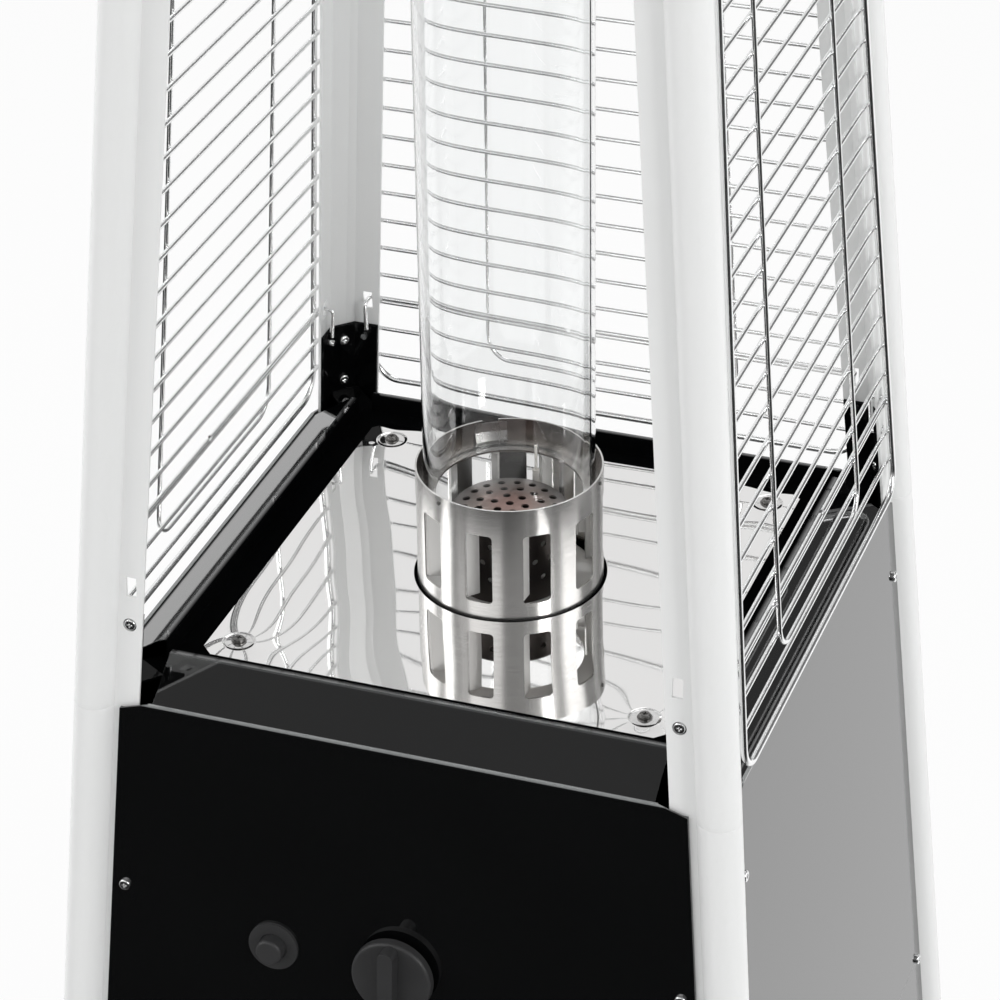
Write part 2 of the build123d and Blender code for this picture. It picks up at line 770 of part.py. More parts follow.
# ---- deck tray ----
tray_top = deck_height + tray_rise
crease_z = tray_top - tray_slope_drop
lip_profile = [
    Vector(tray_half, tray_under),
    Vector(tray_half, tray_top),
    Vector(tray_half + tray_hem, tray_top),
    Vector(tray_half + tray_hem + tray_slope_reach, crease_z),
    Vector(tray_half + tray_hem + tray_slope_reach + tray_skirt_reach, crease_z - tray_skirt_drop),
]
with BuildPart() as deck_tray:
    with BuildSketch(Plane.XY.offset(tray_under)):
        Rectangle(2 * tray_half, 2 * tray_half)
        Circle(tray_hole, mode=Mode.SUBTRACT)
    extrude(amount=sheet)
    lip_end = Location(Plane(origin=(lip_half, 0, 0), x_dir=(0, -1, 0), z_dir=(-1, 0, 0)))
    for turn in range(4):
        plate_on(turned(90 * turn) * lip_end, strip(lip_profile, -sheet), 2 * lip_half)
    screw_xy = [(hx * plate_screw, hy * plate_screw, tray_under) for hx in (-1, 1) for hy in (-1, 1)]
    drill([Location(spot) for spot in screw_xy], screw_hole, 2 * sheet)
    drill([Location((hand * carrier_screw, 0, tray_under)) for hand in (-1, 1)], screw_hole, 2 * sheet)
finish(deck_tray.part, "deck_tray")

# ---- mirror plate ----
with BuildPart() as reflector_plate:
    with BuildSketch(Plane.XY.offset(plate_under)) as plate_outline:
        Rectangle(2 * plate_half, 2 * plate_half)
        chamfer(plate_outline.vertices(), plate_chamfer)
        Circle(collar_radius + plate_hole_gap, mode=Mode.SUBTRACT)
    extrude(amount=plate_gauge)
    drill([Location(spot) for spot in screw_xy], screw_hole, 3 * plate_gauge)
finish(reflector_plate.part, "reflector_plate")

# ---- collar ----
tube_foot = deck_height + collar_height - seat_drop
slot_pitch = 360 / slot_count
slot_angles = [-90 + slot_pitch * k for k in range(slot_count)]
collar_inner = collar_radius - collar_gauge
with BuildPart() as burner_collar:
    with BuildSketch(Plane.XY.offset(plate_under)):
        Circle(collar_radius)
        Circle(collar_inner, mode=Mode.SUBTRACT)
    extrude(amount=plate_gauge + collar_height)
    slot_middle = deck_height + collar_slot_foot + collar_slot_height / 2
    for angle in slot_angles:
        facing = Location((0, 0, slot_middle), (0, 0, angle)) * Location((0, 0, 0), (90, 90, 0))
        with BuildSketch(Plane(facing)):
            RectangleRounded(collar_slot, collar_slot_height, collar_slot_round)
        extrude(amount=collar_radius + collar_gauge, mode=Mode.SUBTRACT)
    for angle in slot_angles:
        hinge = turned(angle - degrees(collar_slot / 2 / collar_radius))
        flap_foot = Location((collar_inner, 0, deck_height + collar_slot_foot + flap_gap))
        fold = Vector(0, flap_width)
        back = fold + Vector(-flap_fold, 0)
        flap = strip([Vector(0, -collar_gauge), fold, back], collar_gauge)
        plate_on(hinge * flap_foot * turned(flap_turn), flap, collar_slot_height - 2 * flap_gap)
    with BuildSketch(Plane.XY.offset(tube_foot - seat_gauge)):
        Circle(collar_inner)
        Circle(seat_inner, mode=Mode.SUBTRACT)
    extrude(amount=seat_gauge)
    rivet_z = deck_height + collar_height - clip_top - clip_back / 2
    clip_angles = [clip_start + 360 / clip_count * k for k in range(clip_count)]
    rivet_spot = Location((collar_radius, 0, rivet_z), (0, 90, 0))
    drill([turned(a) * rivet_spot for a in clip_angles], clip_rivet, 2 * collar_gauge)
    notch = turned(notch_angle) * Location((collar_radius, 0, deck_height + collar_height))
    with Locations(notch):
        Box(6 * collar_gauge, notch_width, 2 * notch_drop, mode=Mode.SUBTRACT)
finish(burner_collar.part, "burner_collar")

# ---- quartz tube, its clips and the top ring ----
with BuildPart() as glass_tube:
    with BuildSketch(Plane.XY.offset(tube_foot)):
        Circle(tube_radius)
        Circle(tube_radius - tube_wall, mode=Mode.SUBTRACT)
    extrude(amount=top_plate_z + tube_rise - tube_foot)
finish(glass_tube.part, "glass_tube")

tongue = tube_radius + clip_gap + clip_gauge
clip_profile = [
    Vector(collar_inner, -clip_top),
    Vector(collar_inner, -clip_top - clip_back),
    Vector(tongue, -clip_top - clip_back - clip_tongue),
    Vector(tongue + clip_gauge, -clip_top - clip_back - clip_tongue - clip_toe),
]
with BuildPart() as tube_clips:
    for start in clip_angles:
        rim = Location((0, 0, deck_height + collar_height), (0, 0, start - clip_sweep / 2))
        with BuildSketch(Plane(rim * Location((0, 0, 0), (90, 0, 0)))):
            with BuildLine():
                Polyline(*strip(clip_profile, -clip_gauge), close=True)
            make_face()
        revolve(axis=Axis.Z, revolution_arc=clip_sweep)
        rivet = Location((0, 0, rivet_z), (0, 0, start))
        with BuildSketch(Plane(rivet * Location((collar_inner, 0, 0), (0, 90, 0)))):
            Circle(clip_rivet)
        extrude(amount=collar_gauge + clip_rivet_head)
finish(tube_clips.part, "tube_clips")

# ---- burner ----
carrier_top = tray_under
wall_top = deck_height + cap_height


def dome_solid(inset):
    """A round cap with a slightly domed top, revolved about the heater's axis."""
    radius, top = cap_radius - inset, wall_top - inset
    with BuildSketch(Plane.XZ) as profile:
        with BuildLine():
            Polyline((0, top + cap_dome), (0, carrier_top), (radius, carrier_top), (radius, top))
            ThreePointArc((radius, top), (radius / 2, top + 3 * cap_dome / 4), (0, top + cap_dome))
        make_face()
    revolve(profile.sketch, axis=Axis.Z, mode=Mode.SUBTRACT if inset else Mode.ADD)


with BuildPart() as burner_cap:
    dome_solid(0)
    dome_solid(cap_gauge)
    for ring_radius, count in cap_rings:
        with PolarLocations(ring_radius, count):
            with Locations((0, 0, wall_top)):
                Cylinder(cap_hole, 4 * cap_dome, mode=Mode.SUBTRACT)
    with Locations((0, 0, wall_top)):
        Cylinder(cap_hole, 4 * cap_dome, mode=Mode.SUBTRACT)
    hole_pitch = 360 / side_holes
    spots = [
        turned(hole_pitch * (k + row % 2 / 2)) * Location((cap_radius, 0, deck_height + z), (0, 90, 0))
        for row, z in enumerate(side_rows)
        for k in range(side_holes)
    ]
    drill(spots, side_hole, 2 * cap_gauge)
finish(burner_cap.part, "burner_cap")

bowl_foot = deck_height + bowl_top - bowl_depth
mixer_foot = bowl_foot - mixer_length
with BuildPart() as burner_body:
    with BuildSketch(Plane.XY.offset(bowl_foot)):
        Circle(bowl_radius)
    extrude(amount=bowl_depth)
    with BuildSketch(Plane.XY.offset(bowl_foot + bowl_gauge)):
        Circle(bowl_radius - bowl_gauge)
    extrude(amount=bowl_depth, mode=Mode.SUBTRACT)
    with BuildSketch(Plane.XY.offset(mixer_foot)):
        Circle(mixer_radius)
    extrude(amount=mixer_length)
    with BuildSketch(Plane.XY.offset(mixer_foot)):
        Circle(mixer_radius - bowl_gauge)
    extrude(amount=mixer_length + 2 * bowl_gauge, mode=Mode.SUBTRACT)
    for heading in (0, 90):
        with Locations(Location((0, 0, mixer_foot + mixer_window_height), (0, 0, heading))):
            Box(4 * mixer_radius, mixer_window, mixer_window_height, mode=Mode.SUBTRACT)
    with BuildSketch(Plane.XY.offset(carrier_top - carrier_gauge)):
        Circle(carrier_radius)
        Circle(bowl_radius - bowl_gauge, mode=Mode.SUBTRACT)
        for spread in (-probe_spread, 0, probe_spread):
            with PolarLocations(pilot_reach, 1, start_angle=pilot_angle + spread):
                Circle(pilot_radius if spread == 0 else electrode_radius, mode=Mode.SUBTRACT)
        with Locations((carrier_screw, 0), (-carrier_screw, 0)):
            Circle(screw_hole, mode=Mode.SUBTRACT)
    extrude(amount=carrier_gauge)
finish(burner_body.part, "burner_body")


def probe_spot(spread, z):
    """A place beside the burner, turned from the pilot by the angle spread."""
    return Location((0, 0, z), (0, 0, pilot_angle + spread)) * Location((pilot_reach, 0, 0))


probe_foot = carrier_top - probe_drop
with BuildPart() as pilot_burner:
    with BuildSketch(Plane(probe_spot(0, probe_foot))):
        Circle(pilot_radius)
    extrude(amount=deck_height + pilot_height - probe_foot)
    with BuildSketch(Plane(probe_spot(0, deck_height + pilot_height - pilot_hood))):
        Circle(pilot_radius - cap_gauge)
    extrude(amount=pilot_hood, mode=Mode.SUBTRACT)
    with Locations(probe_spot(0, deck_height + pilot_height) * Location((-pilot_radius, 0, 0))):
        Box(2 * pilot_radius, 2 * pilot_radius, pilot_hood, mode=Mode.SUBTRACT)
finish(pilot_burner.part, "pilot_burner")

with BuildPart() as igniter_electrode:
    tip = electrode_height / 4
    with BuildSketch(Plane(probe_spot(probe_spread, probe_foot))):
        Circle(electrode_radius)
    extrude(amount=deck_height + electrode_height - tip - probe_foot)
    with BuildSketch(Plane(probe_spot(probe_spread, deck_height + electrode_height - tip))):
        Circle(electrode_tip)
    extrude(amount=tip)
finish(igniter_electrode.part, "igniter_electrode")

with BuildPart() as thermocouple:
    with BuildSketch(Plane(probe_spot(-probe_spread, probe_foot))):
        Circle(electrode_radius)
    extrude(amount=deck_height + couple_height / 2 - probe_foot)
    with BuildSketch(Plane(probe_spot(-probe_spread, deck_height + couple_height / 2))):
        Circle(couple_radius)
    extrude(amount=couple_height / 2)
finish(thermocouple.part, "thermocouple")

# ---- valve, knob, pipes ----
valve_spot = face_spot(0, control_z, panel_face)
block_back = valve_setback + valve_depth
bore_depth = valve_setback + plug_length + plug_end_gap


def rod(spot, start, end, radius, mode=Mode.ADD):
    """A round bar along a place's axis, from distance start to distance end."""
    with BuildSketch(Plane(spot * Location((0, 0, start)))) as disc:
        Circle(radius)
    extrude(disc.sketch, amount=end - start, mode=mode)


with BuildPart() as valve_body:
    with Locations(valve_spot * Location((0, 0, -valve_setback - valve_depth / 2))):
        Box(2 * valve_half, 2 * valve_tall, valve_depth)
    rod(valve_spot, -valve_setback, 0, valve_boss)
    rod(valve_spot, -bore_depth, 0, plug_radius + plug_clearance, Mode.SUBTRACT)
finish(valve_body.part, "valve_body")

with BuildPart() as valve_plug:
    rod(valve_spot, -valve_setback - plug_length, -valve_setback, plug_radius)
    rod(valve_spot, -valve_setback - stem_socket, -valve_setback, stem_radius + stem_clearance, Mode.SUBTRACT)
finish(valve_plug.part, "valve_plug")

knob_back = sheet + knob_gap
with BuildPart() as valve_stem:
    rod(valve_spot, -valve_setback - stem_depth, knob_back + knob_height / 2, stem_radius)
finish(valve_stem.part, "valve_stem")

with BuildPart() as control_knob:
    rod(valve_spot, knob_back, knob_back + knob_height - knob_grip_height, knob_radius)
    fillet(control_knob.edges().filter_by(GeomType.CIRCLE).sort_by(Axis.Y)[0], knob_fillet)
    with BuildSketch(Plane(valve_spot * Location((0, 0, knob_back)))):
        SlotOverall(2 * knob_radius - knob_fillet, knob_grip, rotation=90)
    extrude(amount=knob_height)
    rod(valve_spot, knob_back, knob_back + knob_height / 2, stem_radius, Mode.SUBTRACT)
finish(control_knob.part, "control_knob")

inlet_spot = valve_spot * Location((0, -valve_tall, -valve_setback - valve_depth / 2), (90, 0, 0))
with BuildPart() as inlet_fitting:
    with BuildSketch(Plane(inlet_spot)):
        RegularPolygon(inlet_hex / 2, 6, major_radius=False)
    extrude(amount=inlet_hex_height)
    rod(inlet_spot, inlet_hex_height, inlet_hex_height + inlet_tail, inlet_neck)
    rod(inlet_spot, 0, inlet_hex_height + inlet_tail, inlet_neck / 2, Mode.SUBTRACT)
finish(inlet_fitting.part, "inlet_fitting")


def pipe_from_valve(x, target, radius, bend):
    """A bent pipe from the back of the valve to a point above it."""
    spot = valve_spot * Location((x, 0, -block_back))
    first = spot.position
    second = (spot * Location((0, 0, -2 * bend))).position
    with BuildLine() as route:
        FilletPolyline(first, second, (target.X, target.Y, second.Z), target, radius=bend)
    with BuildSketch(Plane(origin=first, z_dir=route.line % 0)) as disc:
        Circle(radius)
    sweep(disc.sketch, path=route.line)


with BuildPart() as gas_pipe:
    pipe_from_valve(0, Vector(0, 0, mixer_foot), pipe_radius, pipe_bend)
    with BuildSketch(Plane.XY.offset(mixer_foot)):
        Circle(mixer_radius - bowl_gauge)
    extrude(amount=mixer_plug)
finish(gas_pipe.part, "gas_pipe")

with BuildPart() as pilot_pipe:
    pilot_foot = probe_spot(0, probe_foot).position
    pipe_from_valve(pilot_foot.X, pilot_foot, pilot_pipe_radius, pilot_bend)
finish(pilot_pipe.part, "pilot_pipe")

# ---- igniter and tilt switch ----
igniter_spot = face_spot(igniter_place, control_z, panel_face)
with BuildPart() as igniter_body:
    rod(igniter_spot, -igniter_length, sheet + igniter_flange_gauge, igniter_radius)
    rod(igniter_spot, sheet, sheet + igniter_flange_gauge, igniter_flange)
    rod(igniter_spot, -igniter_bore, sheet + igniter_flange_gauge, button_radius + button_gap, Mode.SUBTRACT)
    terminal_spot = igniter_spot * Location((0, 0, -igniter_length - terminal[1] / 2))
    with Locations(terminal_spot):
        Box(terminal[0], terminal[2], terminal[1])
finish(igniter_body.part, "igniter_body")

with BuildPart() as igniter_button:
    rod(igniter_spot, -button_depth, sheet + igniter_flange_gauge + button_reach, button_radius)
    fillet(igniter_button.edges().filter_by(GeomType.CIRCLE).sort_by(Axis.Y)[0], button_fillet)
finish(igniter_button.part, "igniter_button")

switch_spot = face_spot(switch_place, control_z, panel_face)
with BuildPart() as tilt_switch:
    with Locations(switch_spot * Location((0, 0, -switch_depth / 2))):
        Box(switch_length, switch_height, switch_depth)
    for hand in (-1, 1):
        with Locations(switch_spot * Location((hand * terminal[0], 0, -switch_depth - terminal[1] / 2))):
            Box(terminal[2], terminal[0], terminal[1])
finish(tilt_switch.part, "tilt_switch")

# ---- top plate, tube ring, baffle and cap ----
top_half = post_axis(top_plate_z) + ear_outer - top_gap
top_corner = 2 * (top_half - post_axis(top_plate_z)) + 2 * post_flat / sqrt(2) + 2 * top_gap
with BuildPart() as top_plate:
    with BuildSketch(Plane.XY.offset(top_plate_z - roof_gauge)) as top_outline:
        Rectangle(2 * top_half, 2 * top_half)
        chamfer(top_outline.vertices(), top_corner)
        Circle(tube_radius + tube_gap + tube_ring_wall, mode=Mode.SUBTRACT)
    extrude(amount=roof_gauge)
    for turn in range(4):
        low = top_plate_z - top_flange
        spot = face_spot(0, low, ear_outer, turn)
        flange = side_points(low, top_plate_z - roof_gauge / 2, post_radius + top_margin, low)
        plate_on(spot, flange, -roof_gauge)
        reach = post_axis(top_row) - wing_screw_inset
        places = [face_spot(hand * reach, top_row, ear_outer, turn) for hand in (-1, 1)]
        drill(places, screw_hole, 2 * roof_gauge)
finish(top_plate.part, "top_plate")

with BuildPart() as tube_ring:
    with BuildSketch(Plane.XY.offset(top_plate_z - tube_ring_height / 2)):
        Circle(tube_radius + tube_gap + tube_ring_wall)
    extrude(amount=tube_ring_height)
    with BuildSketch(Plane.XY.offset(top_plate_z)):
        Circle(tube_radius + tube_gap + tube_ring_wall + tube_ring_flange)
    extrude(amount=tube_ring_wall)
    with BuildSketch(Plane.XY.offset(top_plate_z - tube_ring_height / 2)):
        Circle(tube_radius + tube_gap)
    extrude(amount=tube_ring_height, mode=Mode.SUBTRACT)
finish(tube_ring.part, "tube_ring")

skirt_foot = frame_height - cap_skirt
skirt_inner = post_axis(skirt_foot) + post_radius + base_gap
skirt_outer = skirt_inner + roof_gauge
with BuildPart() as top_cap:
    with BuildSketch(Plane.XY.offset(skirt_foot)):
        RectangleRounded(2 * skirt_outer, 2 * skirt_outer, cap_corner + roof_gauge)
    extrude(amount=cap_skirt + cap_lip)
    with BuildSketch(Plane.XY.offset(skirt_foot)):
        RectangleRounded(2 * skirt_inner, 2 * skirt_inner, cap_corner)
    extrude(amount=cap_skirt, mode=Mode.SUBTRACT)
    with BuildSketch(Plane.XY.offset(frame_height + cap_lip)):
        RectangleRounded(2 * skirt_outer, 2 * skirt_outer, cap_corner + roof_gauge)
    extrude(amount=roof_rise, taper=degrees(atan((skirt_outer - roof_flat) / roof_rise)))
    for turn in range(4):
        places = [wall_spot(h * post_axis(cap_row), cap_row, skirt_outer, turn) for h in (-1, 1)]
        drill(places, screw_hole, 2 * roof_gauge)
finish(top_cap.part, "top_cap")

with BuildPart() as heat_baffle:
    with BuildSketch(Plane.XY.offset(frame_height - baffle_drop)):
        Circle(baffle_radius)
    extrude(amount=roof_gauge)
    with BuildSketch(Plane.XY.offset(frame_height - baffle_drop)):
        with PolarLocations(baffle_radius - 3 * baffle_stud, 4):
            Circle(baffle_stud)
    extrude(amount=baffle_drop)
finish(heat_baffle.part, "heat_baffle")

# ---- grilles ----
grille_low = deck_height + grille_foot
row_face = grille_face - frame_wire - row_wire + weld
inner_face = row_face + 2 * row_wire - weld


def grille_width(z):
    """Half the width of a grille's outer frame at height z."""
    return grille_half - taper * (z - deck_height)


def wire_loop(points, radius, bend, close):
    """A bent wire along a line of points in the plane of its first point."""
    with BuildLine() as route:
        FilletPolyline(*points, radius=bend, close=close)
    with BuildSketch(Plane(origin=route.line @ 0, z_dir=route.line % 0)) as disc:
        Circle(radius)
    sweep(disc.sketch, path=route.line)


def on_face(x, z, out):
    """A point on the front side at height z, set out from the posts' axes."""
    return face_spot(x, z, out).position


def hook_wire(hand, z):
    """A wire that doubles a row, passes through a post's slot and turns down behind the wing."""
    spot = face_spot(0, z, row_face) * Location((0, 2 * row_wire - weld, 0))
    free_end = grille_half * hook_gap_place - hand * -hook_gap / 2
    x = hand * (post_axis(z) - wing_screw_inset)
    points = [(free_end, 0, 0), (x, 0, 0), (x, 0, -hook_reach), (x, -hook_drop, -hook_reach)]
    wire_loop([(spot * Location(point)).position for point in points], row_wire, hook_bend, False)


with BuildPart() as grille:
    corners_of_frame = [(-1, grille_low), (1, grille_low), (1, grille_top), (-1, grille_top)]
    start = on_face(0, grille_low, grille_face)
    frame_points = [on_face(h * grille_width(z), z, grille_face) for h, z in corners_of_frame]
    wire_loop(frame_points, frame_wire, corner_bend, True)
    inner_low = deck_height + inner_foot
    inner_corners = [(-1, grille_top), (-1, inner_low), (1, inner_low), (1, grille_top)]
    inner_points = [on_face(h * inner_share * post_axis(z), z, inner_face) for h, z in inner_corners]
    wire_loop(inner_points, row_wire, corner_bend, False)
    for z in hook_heights:
        hook_wire(-1, z)
        hook_wire(1, z)
    rows = []
    for k in range(1, row_count):
        z = grille_low + k * row_pitch
        spot = Location(on_face(0, z, row_face), (0, 90, 0))
        rows.append(spot * Cylinder(row_wire, 2 * grille_width(z), mode=Mode.PRIVATE))
    add(rows)
for turn, side in ((1, "right"), (2, "back"), (3, "left")):
    finish(Rot(0, 0, 90 * turn) * grille.part, f"grille_{side}")

# ---- screws ----
with BuildPart() as pan_screw:
    with BuildSketch() as head:
        Circle(screw_head)
    extrude(amount=screw_head_height)
    fillet(pan_screw.edges().sort_by(Axis.Z)[-1], screw_head_height / 2)
    for heading in (0, 90):
        with Locations(Location((0, 0, screw_head_height), (0, 0, heading))):
            Box(screw_head, screw_slot, screw_head_height, mode=Mode.SUBTRACT)
    with BuildSketch():
        Circle(screw_shank)
    extrude(amount=-screw_length)


frame_spots = panel_screws(front_rows)
for turn in (1, 2, 3):
    frame_spots += panel_screws(side_rows_z, turn)
for turn in range(4):
    for hand in (-1, 1):
        inset = hand * (post_axis(wing_row) - wing_screw_inset)
        frame_spots.append(face_spot(inset, wing_row, ear_outer, turn))
        inset = hand * (post_axis(top_row) - wing_screw_inset)
        frame_spots.append(face_spot(inset, top_row, wing_face, turn))
        frame_spots.append(wall_spot(hand * post_axis(cap_row), cap_row, skirt_outer, turn))
        frame_spots.append(wall_spot(hand * post_axis(base_row), base_row, base_half, turn))
    for height in bracket_screw_heights:
        frame_spots.append(flat_spot(0, deck_height + height, turn) * Location((0, 0, bracket_gauge)))
with BuildPart() as frame_screws:
    with Locations(*frame_spots):
        add(pan_screw.part)
finish(frame_screws.part, "frame_screws")

with BuildPart() as plate_screws:
    with Locations(*[Location((x, y, deck_height + washer_gauge)) for x, y, z in screw_xy]):
        add(pan_screw.part)
    with Locations(*[Location((x, y, deck_height)) for x, y, z in screw_xy]):
        Cylinder(washer_radius, washer_gauge, align=(Align.CENTER, Align.CENTER, Align.MIN))
finish(plate_screws.part, "plate_screws")

with BuildPart() as carrier_screws:
    under = carrier_top - carrier_gauge
    with Locations(*[Location((hand * carrier_screw, 0, under), (180, 0, 0)) for hand in (-1, 1)]):
        Cylinder(screw_head, screw_head_height, align=(Align.CENTER, Align.CENTER, Align.MIN))
    with Locations(*[Location((hand * carrier_screw, 0, under)) for hand in (-1, 1)]):
        Cylinder(screw_shank, carrier_gauge + sheet, align=(Align.CENTER, Align.CENTER, Align.MIN))
finish(carrier_screws.part, "carrier_screws")
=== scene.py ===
import json
from math import cos, radians, sin

import bpy
from bpy.props import FloatProperty, FloatVectorProperty, PointerProperty
from mathutils import Matrix, Vector


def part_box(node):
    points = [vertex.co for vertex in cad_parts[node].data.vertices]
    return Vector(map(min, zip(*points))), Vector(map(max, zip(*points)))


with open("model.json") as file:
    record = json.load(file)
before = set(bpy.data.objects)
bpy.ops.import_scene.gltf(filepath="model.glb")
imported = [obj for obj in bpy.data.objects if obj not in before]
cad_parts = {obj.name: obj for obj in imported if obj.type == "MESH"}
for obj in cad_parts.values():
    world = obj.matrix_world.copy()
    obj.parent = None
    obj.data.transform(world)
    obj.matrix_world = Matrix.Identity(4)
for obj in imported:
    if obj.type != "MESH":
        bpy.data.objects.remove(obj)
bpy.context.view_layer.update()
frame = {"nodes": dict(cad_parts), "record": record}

bl_info = {
    "name": "Outdoor heater",
    "version": (1, 0, 0),
    "blender": (4, 5, 0),
    "location": "View3D > Sidebar > Heater",
    "description": "Finishes and small parts of a pyramid patio heater on its packed frame",
    "category": "Object",
}

NODES = frame["nodes"]
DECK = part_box("reflector_plate")[1][2]
CORNERS = ("front_left", "front_right", "back_right", "back_left")
GRILLES = ("grille_left", "grille_back", "grille_right")

# ---- places on the heater that the finishes follow, in metres ----
HEM_INNER, HEM_EDGE = 0.1545, 0.1580  # the tray's wall and the fold outside it
PLATE_SCREW = 0.1216  # a plate screw's place along X and along Y
FLAP_RADIUS, FLAP_TOP = 0.0530, 0.05675  # inside the collar's wall, and above the slots' flaps
INNER_DARK_LOW, INNER_DARK_HIGH = 0.046, 0.058  # where the darkened part of the collar's inner wall begins
CAP_SHOULDER = 0.0432  # where the cap's upright wall turns into its dome
PANEL_BEND = 0.0088  # the deck's height above a panel's top bend

# ---- softened edges ----
WELD_GAP = 0.00002
SHARP_ANGLE = radians(35)
EDGE_STEPS = 2

# ---- the view and the studio ----
CAMERA_PLACE = (0.63265, -1.74767, 1.15922)  # from the middle of the mirror plate
CAMERA_YAW, CAMERA_PITCH, CAMERA_ROLL = -20.075, 30.871, -0.854  # degrees
CAMERA_LENS, CAMERA_SENSOR = 134.056, 36.0  # millimetres
CAMERA_RAY, SHADOW_RAY, DIFFUSE_RAY, GLOSSY_RAY, TRANSMISSION_RAY = 0, 1, 2, 3, 6  # Light Path outputs
WHITE = (1.0, 1.0, 1.0)
PAPER = 0.9  # the floor's shade, and the share of it that is plain white to the camera
FLOOR_HALF = 14.0
FLOOR_NEAR, FLOOR_FAR = 0.016, 1.016  # how bright the floor looks in the steel, before and behind the heater
ROOM = 0.54  # how brightly the surroundings light the heater
SOFTBOXES = (  # name, place, what it points at, width, watts
    ("left_softbox", (-2.75, -1.6, 2.3), (0, 0, 0.9), 1.2, 19.5),
    ("front_softbox", (-0.7, -3.2, 2.5), (0, 0, 0.9), 2.4, 13.0),
    ("right_softbox", (2.8, -1.65, 2.2), (0, 0, 0.9), 0.9, 30.0),
    ("side_softbox", (-3.2, 0.6, 2.2), (0, 0, 1.0), 1.6, 16.0),
    ("far_softbox", (3.0, 0.5, 2.3), (0, 0, 1.0), 1.5, 16.0),
    ("top_softbox", (0.2, 2.2, 4.6), (0, 0, 1.0), 2.0, 28.0),
)


# ---- sizes and colours ----
def length(name, description, default):
    return FloatProperty(name=name, description=description, default=default, min=0.0, unit="LENGTH")


def colour(name, description, default):
    return FloatVectorProperty(
        name=name, description=description, default=default, size=3, min=0.0, max=1.0, subtype="COLOR"
    )


class HeaterSizes(bpy.types.PropertyGroup):
    edge: length("Sheet edge", "Rounding of the painted sheet edges", 0.0004)
    post_edge: length("Post edge", "Rounding of the posts' cut ends and slots", 0.0003)
    peel: length("Orange peel", "Depth of the ripple in the powder coat", 0.00002)
    wave: length("Plate wave", "Depth of the long waves in the mirror plate", 0.0017)
    dish: length("Dish radius", "Radius of the pressed dish round each plate screw", 0.010)


class HeaterColours(bpy.types.PropertyGroup):
    white: colour("White paint", "Posts and cap", (0.86, 0.865, 0.86))
    black: colour("Black paint", "Cabinet, deck tray and brackets", (0.0022, 0.0024, 0.0026))
    mirror: colour("Mirror plate", "Polished steel under the collar", (0.875, 0.868, 0.862))
    brushed: colour("Brushed steel", "Collar and top ring", (0.74, 0.73, 0.715))
    zinc: colour("Bright wire", "Grilles and screws", (0.95, 0.955, 0.96))
    scorched: colour("Heat tint", "Middle of the burner cap", (0.32, 0.215, 0.19))
    plastic: colour("Black plastic", "Knob, igniter, feet and wheels", (0.034, 0.034, 0.035))
    rubber: colour("Tyre rubber", "Wheel tyres", (0.018, 0.018, 0.018))
    brass: colour("Brass", "Inlet, pilot and valve plug", (0.62, 0.45, 0.22))
    cast: colour("Cast aluminium", "Valve and pipes", (0.60, 0.60, 0.61))


# ---- shader maths ----
class Field:
    """A node socket that does maths with numbers and other sockets."""

    def __init__(self, tree, socket):
        self.tree, self.socket = tree, socket

    def _math(self, operation, *values):
        return self.tree.node("ShaderNodeMath", {"operation": operation}, *values)[0]

    def __add__(self, other):
        return self._math("ADD", self, other)

    def __sub__(self, other):
        return self._math("SUBTRACT", self, other)

    def __rsub__(self, other):
        return self._math("SUBTRACT", other, self)

    def __mul__(self, other):
        return self._math("MULTIPLY", self, other)

    def __truediv__(self, other):
        return self._math("DIVIDE", self, other)

    def __rtruediv__(self, other):
        return self._math("DIVIDE", other, self)

    def __pow__(self, other):
        return self._math("POWER", self, other)

    def __rpow__(self, other):
        return self._math("POWER", other, self)

    __radd__, __rmul__ = __add__, __mul__

    def apply(self, operation, *values):
        return self._math(operation, self, *values)

    def step(self, low, high):
        """0 below low, 1 above high, smooth between."""
        settings = {"interpolation_type": "SMOOTHSTEP"}
        return self.tree.node("ShaderNodeMapRange", settings, self, low, high, 0.0, 1.0)[0]

    def spread(self, low, high):
        """A value from 0 to 1 laid over the range low to high."""
        return self.tree.node("ShaderNodeMapRange", {}, self, 0.0, 1.0, low, high)[0]


class Tree:
    """A node tree with one way in for every node."""

    def __init__(self, nodes, links):
        self.nodes, self.links = nodes, links

    def node(self, kind, settings=None, *values, **named):
        """Adds a node: its settings first, then its sockets in order, then sockets by name."""
        made = self.nodes.new(kind)
        for name, value in (settings or {}).items():
            setattr(made, name, value)
        slots = list(zip(made.inputs, values))
        slots += [(made.inputs[name.replace("_", " ")], value) for name, value in named.items()]
        for slot, value in slots:
            if isinstance(value, Field):
                self.links.new(value.socket, slot)
            elif value is not None:
                if slot.type == "RGBA" and len(value) == 3:
                    value = (*value, 1.0)
                slot.default_value = value
        return [Field(self, socket) for socket in made.outputs]

    def parts(self, vector):
        return self.node("ShaderNodeSeparateXYZ", None, vector)

    def join(self, x, y, z):
        return self.node("ShaderNodeCombineXYZ", None, x, y, z)[0]

    def mix(self, factor, first, second):
        """Two colours mixed by a factor."""
        out = self.node("ShaderNodeMix", {"data_type": "RGBA"}, Factor=factor)
        made = self.nodes[-1]
        for slot, value in ((made.inputs[6], first), (made.inputs[7], second)):
            if isinstance(value, Field):
                self.links.new(value.socket, slot)
            else:
                slot.default_value = (*value, 1.0)
        return out[2]

    def noise(self, place, scale, detail=2.0, roughness=0.5):
        return self.node("ShaderNodeTexNoise", None, place, None, scale, detail, roughness)[0]

    def place(self):
        """The surface's own place, fixed to the piece."""
        return self.node("ShaderNodeTexCoord")[3]

    def bump(self, height, distance, strength=1.0):
        return self.node("ShaderNodeBump", None, Strength=strength, Distance=distance, Height=height)[0]


